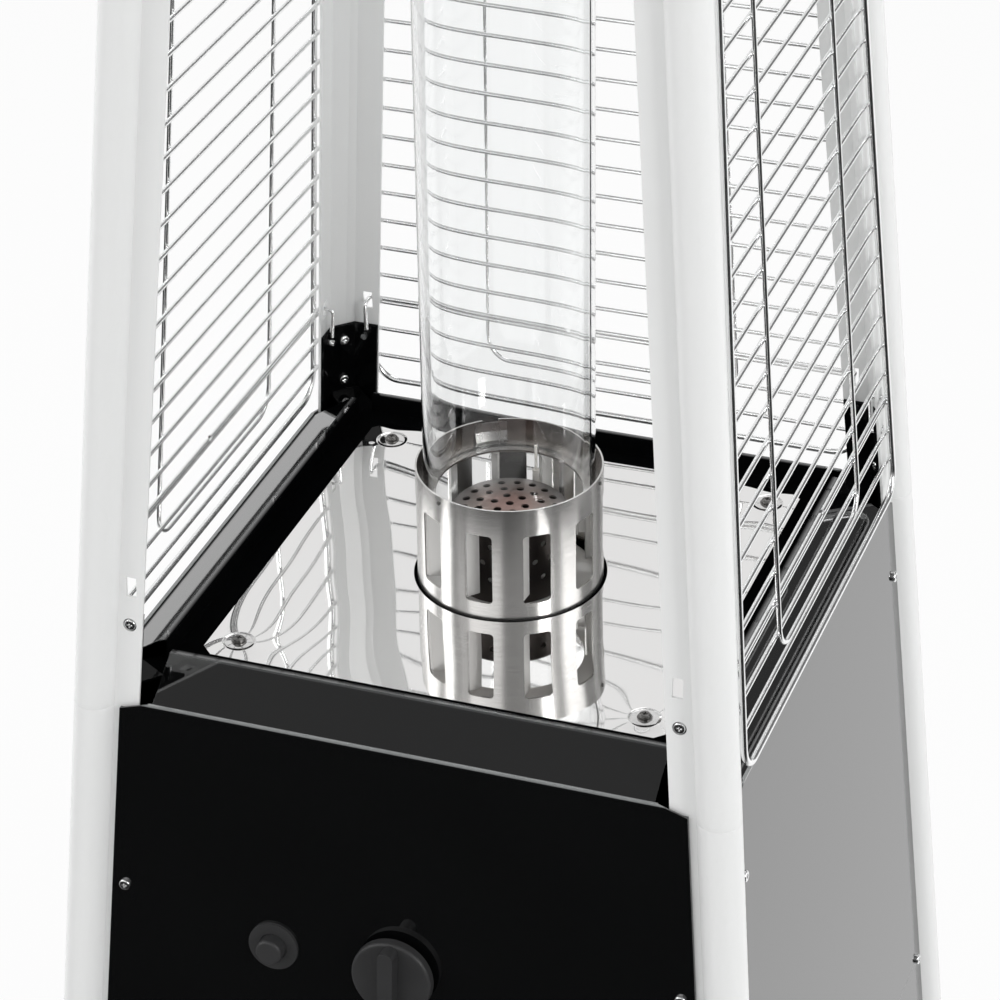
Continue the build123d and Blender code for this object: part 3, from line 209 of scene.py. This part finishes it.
def material(name, base, roughness, metallic=0.0, normal=None, **constants):
    """A principled finish: a function of the tree varies over the surface, any other value is constant."""
    made = bpy.data.materials.new(name)
    made.use_nodes = True
    tree = Tree(made.node_tree.nodes, made.node_tree.links)
    shader = made.node_tree.nodes["Principled BSDF"]
    pairs = {"Base Color": base, "Roughness": roughness, "Metallic": metallic}
    pairs.update((slot.replace("_", " "), value) for slot, value in constants.items())
    if normal:
        pairs["Normal"] = normal
    for slot, value in pairs.items():
        if callable(value):
            made.node_tree.links.new(value(tree).socket, shader.inputs[slot])
        else:
            shader.inputs[slot].default_value = value
    return made


def speckled(shade, amount, scale):
    """A colour that drifts a little over the surface."""

    def build(tree):
        drift = tree.noise(tree.place(), scale, 4.0)
        dark = tuple(channel * (1 - amount) for channel in shade)
        light = tuple(min(channel * (1 + amount), 1.0) for channel in shade)
        return tree.mix(drift, dark, light)

    return build


def uneven(low, high, scale):
    """A roughness that wanders between two values."""
    return lambda tree: tree.noise(tree.place(), scale, 3.0).spread(low, high)


def ripple(depth, scale):
    """A fine ripple, as in powder coat or a moulded skin."""
    return lambda tree: tree.bump(tree.noise(tree.place(), scale, 2.0), depth)


def streaks(across, along, scale):
    """A place stretched so that noise turns into brushed lines."""

    def build(tree):
        x, y, z = tree.parts(tree.place())
        return tree.noise(tree.join(x * across, y * across, z * along), scale, 3.0)

    return build


MATERIALS = {}


def make_materials(sizes, colours):
    """Fills MATERIALS with every finish on the heater."""
    white, black = tuple(colours.white), tuple(colours.black)
    MATERIALS["white_paint"] = material(
        "white_paint",
        speckled(white, 0.012, 9.0),
        uneven(0.34, 0.42, 60.0),
        normal=ripple(sizes.peel, 900.0),
        Coat_Weight=0.25,
        Coat_Roughness=0.12,
    )

    plain = speckled(black, 0.25, 14.0)

    def tray_reach(tree):
        """How far a place on the tray lies from the middle, square on."""
        x, y, z = tree.parts(tree.place())
        return x.apply("ABSOLUTE").apply("MAXIMUM", y.apply("ABSOLUTE"))

    def beyond_hem(tree):
        """0 on the tray's floor and walls, 1 on the sloping lips outside them."""
        return tray_reach(tree).step(HEM_INNER, HEM_INNER + 0.003)

    def bend_highlight(tree):
        """Black paint, with a pale painted highlight along a panel's top bend."""
        bend = tree.parts(tree.place())[2].step(DECK - PANEL_BEND - 0.0004, DECK - PANEL_BEND + 0.0004)
        # painted highlight: a pale band of colour along the top bend
        return tree.mix(bend, plain(tree), (0.26, 0.27, 0.27))

    def hem_highlight(tree):
        """Black paint, with a faint painted highlight along the outer edge of the tray's hem."""
        far = tray_reach(tree)
        line = far.step(HEM_EDGE - 0.0014, HEM_EDGE - 0.0006) * far.step(HEM_EDGE + 0.0016, HEM_EDGE + 0.0008)
        # painted highlight: a lighter line of colour along the hem's outer edge
        return tree.mix(line, plain(tree), (0.055, 0.057, 0.058))

    for name, shade, coat in (
        ("black_paint", plain, 1.0),
        # the panels carry a painted highlight along their top bend
        ("panel_paint", bend_highlight, 1.0),
        # the tray carries a painted highlight along its hem
        ("tray_paint", hem_highlight, beyond_hem),
        ("satin_black", plain, 0.12),
    ):
        MATERIALS[name] = material(
            name,
            shade,
            uneven(0.45, 0.55, 40.0),
            normal=ripple(sizes.peel / 6, 400.0),
            Specular_IOR_Level=0.0,
            Coat_Weight=coat,
            Coat_IOR=2.2,
            Coat_Roughness=0.045,
        )

    def plate_height(tree):
        """Long waves in the sheet, and a pressed dish round each screw."""
        x, y, z = tree.parts(tree.place())
        far = screw_distance(tree)
        dish = far.step(sizes.dish * 0.75, sizes.dish) * (sizes.dish * 0.08)
        pucker = (far / -0.024).apply("EXPONENT") * sizes.wave * 1.1  # each screw's pull, fading over 24 mm
        flat = tree.join(x, y, 0.0)
        wave = tree.noise(flat, 6.0, 1.0) * sizes.wave + tree.noise(flat, 15.0, 0.0) * (sizes.wave * 0.22)
        return tree.bump(wave + dish + pucker, 1.0)

    def screw_distance(tree):
        """How far a place on the plate lies from the nearest screw."""
        x, y, z = tree.parts(tree.place())
        across, along = x.apply("ABSOLUTE") - PLATE_SCREW, y.apply("ABSOLUTE") - PLATE_SCREW
        return (across * across + along * along) ** 0.5

    def plate_base(tree):
        """Bright sheet, with painted shade making it darker in the dishes."""
        bright, dull = tuple(colours.mirror), tuple(channel * 0.84 for channel in colours.mirror)
        # painted shade: the colour is darker inside each dish round a screw
        return tree.mix(screw_distance(tree).step(sizes.dish * 0.9, sizes.dish), dull, bright)

    MATERIALS["mirror_steel"] = material(
        "mirror_steel", plate_base, uneven(0.012, 0.04, 18.0), 1.0, normal=plate_height
    )

    def upper_inner_dark(tree):
        """1 on the upper part of the collar's inner wall, which is coloured darker."""
        x, y, z = tree.parts(tree.place())
        far = (x * x + y * y) ** 0.5
        nx, ny, nz = tree.parts(tree.node("ShaderNodeNewGeometry")[1])
        return ((nx * x + ny * y) / far).step(-0.7, -0.9) * z.step(DECK + INNER_DARK_LOW, DECK + INNER_DARK_HIGH)

    def on_flaps(tree):
        """1 on the flaps bent in behind the collar's slots, which get a pale painted reflection."""
        x, y, z = tree.parts(tree.place())
        inside = ((x * x + y * y) ** 0.5).step(FLAP_RADIUS + 0.0003, FLAP_RADIUS - 0.0002)
        return inside * z.step(DECK + FLAP_TOP + 0.00025, DECK + FLAP_TOP - 0.00025)

    def brushed_base(tree):
        """Brushed lines, with a painted reflection making the flaps pale, and darker on the upper inner wall.
        """
        shade = tuple(colours.brushed)
        dark, light = tuple(c * 0.84 for c in shade), tuple(min(c * 1.12, 1.0) for c in shade)
        lined = tree.mix(streaks(6.0, 110.0, 14.0)(tree), dark, light)
        # painted reflection: the flaps are coloured pale; the upper inner wall is coloured darker
        return tree.mix(upper_inner_dark(tree), tree.mix(on_flaps(tree), lined, (0.95, 0.94, 0.92)), (0.10, 0.085, 0.075))

    MATERIALS["brushed_steel"] = material(
        "brushed_steel",
        brushed_base,
        lambda tree: streaks(6.0, 300.0, 14.0)(tree).spread(0.21, 0.28),
        # the flaps lose most of their metal, so that their pale painted reflection takes the lamps' light
        lambda tree: 1 - on_flaps(tree) * 0.7,
        normal=lambda tree: tree.bump(streaks(8.0, 400.0, 20.0)(tree), 0.000003),
        Anisotropic=0.8,
        Anisotropic_Rotation=0.25,
    )
    MATERIALS["bright_zinc"] = material(
        "bright_zinc", speckled(tuple(colours.zinc), 0.06, 40.0), uneven(0.16, 0.28, 90.0), 1.0
    )

    def scorched_base(tree):
        """Brown in the middle, through straw, to grey steel at the rim, and dark scale on the sides."""
        x, y, z = tree.parts(tree.place())
        far = (x * x + y * y) ** 0.5 + (tree.noise(tree.place(), 70.0, 3.0) - 0.5) * 0.012
        tint = tree.mix(far.step(0.004, 0.026), tuple(colours.scorched), (0.37, 0.325, 0.305))
        top = tree.mix(far.step(0.022, 0.034), tint, (0.43, 0.415, 0.41))
        side = z.step(DECK + CAP_SHOULDER + 0.0013, DECK + CAP_SHOULDER - 0.0012)
        return tree.mix(side, top, (0.085, 0.075, 0.07))

    MATERIALS["scaled_steel"] = material(
        "scaled_steel", speckled((0.19, 0.185, 0.18), 0.25, 300.0), uneven(0.22, 0.34, 200.0), 0.9
    )
    MATERIALS["heated_steel"] = material("heated_steel", scorched_base, uneven(0.30, 0.48, 120.0), 0.9)
    for name, shade, drift, dull, metallic, bumps in (
        ("black_plastic", colours.plastic, (0.15, 50.0), (0.42, 0.55, 80.0), 0.0, (0.00006, 1400.0)),
        ("tyre_rubber", colours.rubber, (0.2, 60.0), (0.65, 0.8, 70.0), 0.0, (0.00008, 900.0)),
        ("brass", colours.brass, (0.08, 80.0), (0.22, 0.36, 120.0), 1.0, None),
        ("cast_aluminium", colours.cast, (0.08, 60.0), (0.38, 0.55, 150.0), 1.0, (0.00008, 800.0)),
    ):
        bumpy = ripple(*bumps) if bumps else None
        MATERIALS[name] = material(name, speckled(tuple(shade), *drift), uneven(*dull), metallic, normal=bumpy)
    MATERIALS["ceramic"] = material(
        "ceramic", speckled((0.86, 0.83, 0.78), 0.03, 60.0), uneven(0.12, 0.2, 60.0), Coat_Weight=0.5
    )
    MATERIALS["quartz"] = quartz_glass()


def quartz_glass():
    """Clear quartz: glass to look at, and open to light and shadow rays."""
    made = bpy.data.materials.new("quartz")
    made.use_nodes = True
    tree = Tree(made.node_tree.nodes, made.node_tree.links)
    made.node_tree.nodes.clear()
    path = tree.node("ShaderNodeLightPath")
    haze = tree.noise(tree.place(), 40.0, 3.0).spread(0.0, 0.03)
    glass = tree.node(
        "ShaderNodeBsdfPrincipled",
        None,
        Base_Color=(0.985, 0.99, 0.99),
        Roughness=haze,
        IOR=1.46,
        Transmission_Weight=1.0,
    )
    clear = tree.node("ShaderNodeBsdfTransparent", None, (0.97, 0.975, 0.975))
    either = path[SHADOW_RAY].apply("MAXIMUM", path[DIFFUSE_RAY])
    shader = tree.node("ShaderNodeMixShader", None, either, glass[0], clear[0])
    tree.node("ShaderNodeOutputMaterial", None, shader[0])
    return made


# ---- making and placing pieces ----
def finish_node(name, finish=None, edge=0.0):
    """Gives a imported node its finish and, where asked, softened edges."""
    piece = NODES[name]
    if finish is None:
        finish = next(item["material_slot"] for item in frame["record"]["subparts"] if item["node"] == name)
    for slot in piece.material_slots:
        slot.material = MATERIALS[finish]
    if not piece.material_slots:
        piece.data.materials.append(MATERIALS[finish])
    if edge:
        weld = piece.modifiers.new("weld", "WELD")
        weld.merge_threshold = WELD_GAP
        soft = piece.modifiers.new("edge", "BEVEL")
        soft.width, soft.segments = edge, EDGE_STEPS
        soft.limit_method, soft.angle_limit = "ANGLE", SHARP_ANGLE
        soft.harden_normals = True
    return piece


class Piece(bpy.types.Operator):
    """Shared ways of the heater's operators."""

    bl_options = {"REGISTER", "UNDO"}

    @property
    def sizes(self):
        return bpy.context.scene.heater_sizes

    @property
    def colours(self):
        return bpy.context.scene.heater_colours


class HEATER_OT_finishes(Piece):
    """Make the heater's finishes"""

    bl_idname = "heater.finishes"
    bl_label = "Finishes"

    def execute(self, context):
        make_materials(self.sizes, self.colours)
        return {"FINISHED"}


class HEATER_OT_posts(Piece):
    """Finish the corner posts and their brackets"""

    bl_idname = "heater.posts"
    bl_label = "Posts and brackets"

    def execute(self, context):
        for corner in CORNERS:
            finish_node(f"upper_post_{corner}", edge=self.sizes.post_edge)
            finish_node(f"lower_post_{corner}", edge=self.sizes.post_edge)
            finish_node(f"corner_bracket_{corner}", "satin_black", edge=self.sizes.edge)
        return {"FINISHED"}


class HEATER_OT_cabinet(Piece):
    """Finish the base pan, the panels and the door"""

    bl_idname = "heater.cabinet"
    bl_label = "Cabinet"

    def execute(self, context):
        for name in ("left_panel", "right_panel", "back_panel", "control_panel"):
            finish_node(name, "panel_paint", edge=self.sizes.edge)
        for name in ("base_pan", "door"):
            finish_node(name, edge=self.sizes.edge)
        for name in ("door_pull", "door_pins", "door_magnet", "feet"):
            finish_node(name)
        return {"FINISHED"}


class HEATER_OT_deck(Piece):
    """Finish the deck tray and the mirror plate"""

    bl_idname = "heater.deck"
    bl_label = "Deck"

    def execute(self, context):
        finish_node("deck_tray", "tray_paint", edge=self.sizes.edge)
        finish_node("reflector_plate")
        return {"FINISHED"}


class HEATER_OT_burner(Piece):
    """Finish the collar, the burner and what feeds it"""

    bl_idname = "heater.burner"
    bl_label = "Burner"

    def execute(self, context):
        finish_node("burner_collar")
        finish_node("tube_clips", "scaled_steel")
        for name in ("burner_cap", "burner_body", "pilot_burner", "igniter_electrode", "thermocouple"):
            finish_node(name)
        for name in ("gas_pipe", "pilot_pipe", "valve_body", "valve_plug", "inlet_fitting", "tilt_switch"):
            finish_node(name)
        return {"FINISHED"}


class HEATER_OT_tube(Piece):
    """Finish the quartz tube and its top ring"""

    bl_idname = "heater.tube"
    bl_label = "Quartz tube"

    def execute(self, context):
        finish_node("glass_tube")
        finish_node("tube_ring")
        return {"FINISHED"}


class HEATER_OT_grilles(Piece):
    """Finish the three wire grilles"""

    bl_idname = "heater.grilles"
    bl_label = "Grilles"

    def execute(self, context):
        for name in GRILLES:
            finish_node(name, "bright_zinc")
        return {"FINISHED"}


class HEATER_OT_controls(Piece):
    """Finish the knob and the igniter"""

    bl_idname = "heater.controls"
    bl_label = "Controls"

    def execute(self, context):
        for name in ("control_knob", "valve_stem", "igniter_body", "igniter_button"):
            finish_node(name)
        return {"FINISHED"}


class HEATER_OT_wheels(Piece):
    """Finish the wheels and their forks"""

    bl_idname = "heater.wheels"
    bl_label = "Wheels"

    def execute(self, context):
        for hand in ("left", "right"):
            finish_node(f"wheel_tyre_{hand}")
            finish_node(f"wheel_hub_{hand}", edge=self.sizes.edge)
            finish_node(f"wheel_fork_{hand}", edge=self.sizes.edge)
        finish_node("wheel_bolts")
        return {"FINISHED"}


class HEATER_OT_top(Piece):
    """Finish the top plate, the baffle and the cap"""

    bl_idname = "heater.top"
    bl_label = "Top"

    def execute(self, context):
        finish_node("top_plate", edge=self.sizes.edge)
        finish_node("heat_baffle")
        finish_node("top_cap", edge=self.sizes.edge)
        return {"FINISHED"}


class HEATER_OT_screws(Piece):
    """Finish the screws"""

    bl_idname = "heater.screws"
    bl_label = "Screws"

    def execute(self, context):
        finish_node("frame_screws")
        for name in ("plate_screws", "carrier_screws"):
            finish_node(name, "scaled_steel")
        return {"FINISHED"}


class HEATER_OT_stage(Piece):
    """Set the camera, the lamps and the pale floor"""

    bl_idname = "heater.stage"
    bl_label = "Stage"

    def execute(self, context):
        self.camera()
        self.floor()
        self.lamps()
        self.world()
        return {"FINISHED"}

    def camera(self):
        """A long lens, placed from the deck and turned by its heading, tilt and roll."""
        yaw, pitch, roll = radians(CAMERA_YAW), radians(CAMERA_PITCH), radians(CAMERA_ROLL)
        forward = Vector((sin(yaw) * cos(pitch), cos(yaw) * cos(pitch), -sin(pitch)))
        right = Vector((cos(yaw), -sin(yaw), 0.0))
        up = right.cross(forward)
        right, up = right * cos(roll) + up * sin(roll), up * cos(roll) - right * sin(roll)
        data = bpy.data.cameras.new("camera")
        data.lens, data.sensor_width, data.clip_end = CAMERA_LENS, CAMERA_SENSOR, 50.0
        camera = bpy.data.objects.new("camera", data)
        turn = Matrix((right, up, -forward)).transposed().to_4x4()
        x, y, z = CAMERA_PLACE
        camera.matrix_world = Matrix.Translation((x, y, z + DECK)) @ turn
        bpy.context.scene.collection.objects.link(camera)
        bpy.context.scene.camera = camera

    def floor(self):
        """White paper that keeps the heater's shadow; the steel sees it dark in front and bright behind."""
        mesh = bpy.data.meshes.new("floor")
        half = FLOOR_HALF
        corners = [(-half, -half, 0), (half, -half, 0), (half, half, 0), (-half, half, 0)]
        mesh.from_pydata(corners, [], [(0, 1, 2, 3)])
        floor = bpy.data.objects.new("floor", mesh)
        bpy.context.scene.collection.objects.link(floor)
        made = bpy.data.materials.new("studio_floor")
        made.use_nodes = True
        tree = Tree(made.node_tree.nodes, made.node_tree.links)
        made.node_tree.nodes.clear()
        path = tree.node("ShaderNodeLightPath")
        x, y, z = tree.parts(tree.node("ShaderNodeNewGeometry")[0])
        paper = tree.node("ShaderNodeBsdfDiffuse", None, (PAPER, PAPER, PAPER))
        lit = tree.node("ShaderNodeEmission", None, WHITE, 1.0)
        seen = path[CAMERA_RAY].apply("MAXIMUM", path[TRANSMISSION_RAY]) * PAPER
        back = (y - x * 0.2).step(-0.5, 0.3)  # 1 on the floor behind the heater
        near = tree.node("ShaderNodeEmission", None, WHITE, FLOOR_NEAR)
        far = tree.node("ShaderNodeEmission", None, WHITE, FLOOR_FAR)
        bright = tree.node("ShaderNodeMixShader", None, back, near[0], far[0])
        plain = tree.node("ShaderNodeMixShader", None, seen, paper[0], lit[0])
        gloss = path[GLOSSY_RAY] * (1 - path[TRANSMISSION_RAY])
        both = tree.node("ShaderNodeMixShader", None, gloss, plain[0], bright[0])
        tree.node("ShaderNodeOutputMaterial", None, both[0])
        mesh.materials.append(made)

    def lamps(self):
        """Square softboxes, each turned to its aim."""
        for name, place, aim, size, power in SOFTBOXES:
            data = bpy.data.lights.new(name, "AREA")
            data.energy, data.size = power, size
            lamp = bpy.data.objects.new(name, data)
            heading = (Vector(aim) - Vector(place)).to_track_quat("-Z", "Y")
            lamp.matrix_world = Matrix.Translation(place) @ heading.to_matrix().to_4x4()
            bpy.context.scene.collection.objects.link(lamp)

    def world(self):
        """Plain white to look at, even light to the paint, and bright and dark walls in the steel."""
        world = bpy.data.worlds.new("studio")
        bpy.context.scene.world = world
        world.use_nodes = True
        tree = Tree(world.node_tree.nodes, world.node_tree.links)
        world.node_tree.nodes.clear()
        path = tree.node("ShaderNodeLightPath")
        x, y, z = tree.parts(tree.node("ShaderNodeTexCoord")[0])
        back = y.step(-0.1, 0.3)  # 1 behind the heater
        side = x.step(0.28, -0.02) * 0.72 + 0.14  # the back wall, bright on its left and dim on its right
        roof = z.step(0.55, 0.92)  # 1 on the dim ceiling
        middle = (x * 0.34 - y * 0.94).step(0.72, 0.83)  # 1 on a grey screen in front
        front = z.step(-0.3, 0.25) * (0.6 - middle * 0.42) + 0.06  # the front wall, darker towards the floor
        wall = back * side + (1 - back) * front
        gloss = wall * (1 - roof) + roof * 0.16
        soft = tree.node("ShaderNodeBackground", None, WHITE, ROOM)
        dark = tree.node("ShaderNodeBackground", None, WHITE, 0.0)
        card = tree.node("ShaderNodeBackground", None, WHITE, 1.0)
        shown = tree.node("ShaderNodeMixShader", None, gloss, dark[0], card[0])
        mirrored = path[GLOSSY_RAY] * (1 - path[TRANSMISSION_RAY])
        lit = tree.node("ShaderNodeMixShader", None, mirrored, soft[0], shown[0])
        through = path[CAMERA_RAY].apply("MAXIMUM", path[TRANSMISSION_RAY])
        seen = tree.node("ShaderNodeMixShader", None, through, lit[0], card[0])
        tree.node("ShaderNodeOutputWorld", None, seen[0])
        bpy.context.scene.view_settings.view_transform = "Standard"


class HEATER_PT_pieces(bpy.types.Panel):
    """Lists the heater's pieces, sizes and colours"""

    bl_label = "Outdoor heater"
    bl_space_type = "VIEW_3D"
    bl_region_type = "UI"
    bl_category = "Heater"

    def draw(self, context):
        for step in STEPS:
            self.layout.operator(step.bl_idname)
        for group in (context.scene.heater_sizes, context.scene.heater_colours):
            for name in group.bl_rna.properties.keys():
                if name not in ("rna_type", "name"):
                    self.layout.prop(group, name)


STEPS = (
    HEATER_OT_finishes,
    HEATER_OT_posts,
    HEATER_OT_cabinet,
    HEATER_OT_deck,
    HEATER_OT_burner,
    HEATER_OT_tube,
    HEATER_OT_grilles,
    HEATER_OT_controls,
    HEATER_OT_wheels,
    HEATER_OT_top,
    HEATER_OT_screws,
    HEATER_OT_stage,
)
CLASSES = (HeaterSizes, HeaterColours, *STEPS, HEATER_PT_pieces)


def register():
    for made in CLASSES:
        bpy.utils.register_class(made)
    bpy.types.Scene.heater_sizes = PointerProperty(type=HeaterSizes)
    bpy.types.Scene.heater_colours = PointerProperty(type=HeaterColours)


def unregister():
    del bpy.types.Scene.heater_sizes
    del bpy.types.Scene.heater_colours
    for made in reversed(CLASSES):
        bpy.utils.unregister_class(made)


def main():
    register()
    for step in STEPS:
        group, name = step.bl_idname.split(".")
        getattr(getattr(bpy.ops, group), name)()


if __name__ == "__main__":
    main()
